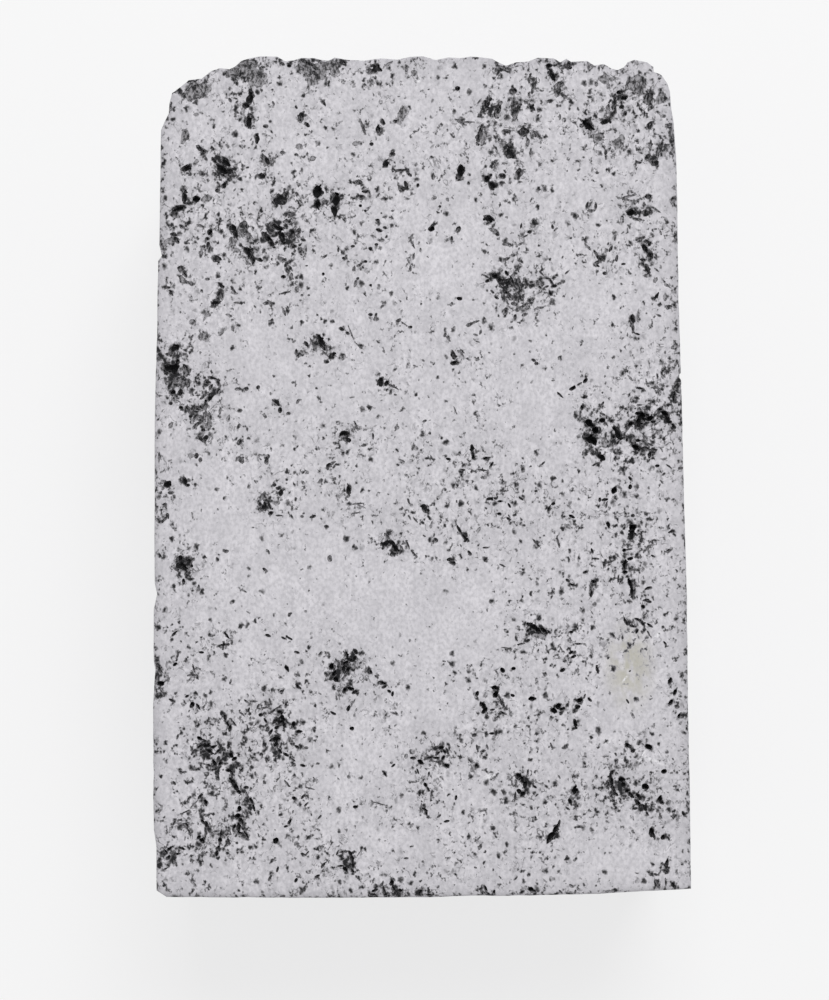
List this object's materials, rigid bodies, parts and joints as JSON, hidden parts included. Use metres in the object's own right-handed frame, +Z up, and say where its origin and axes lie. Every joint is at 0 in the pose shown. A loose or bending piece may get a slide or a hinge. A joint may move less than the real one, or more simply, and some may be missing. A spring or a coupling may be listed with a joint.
{
  "type": "pumice stone",
  "caption": "Sawn slab of grey pumice with open pits, flat above and below, broken off roughly at one end.",
  "frame": {"origin": "middle of the box around the stone, on the ground under its flat underside", "axes": "+Z up out of the sawn top face, +Y along the length towards the broken end, +X across the width"},
  "size_m": [0.0638, 0.0999, 0.035],
  "materials": {
    "stone": "sanded, open-pored, dull"
  },
  "bodies": {
    "root": {"pumice_stone": "stone"}
  },
  "joints": []
}
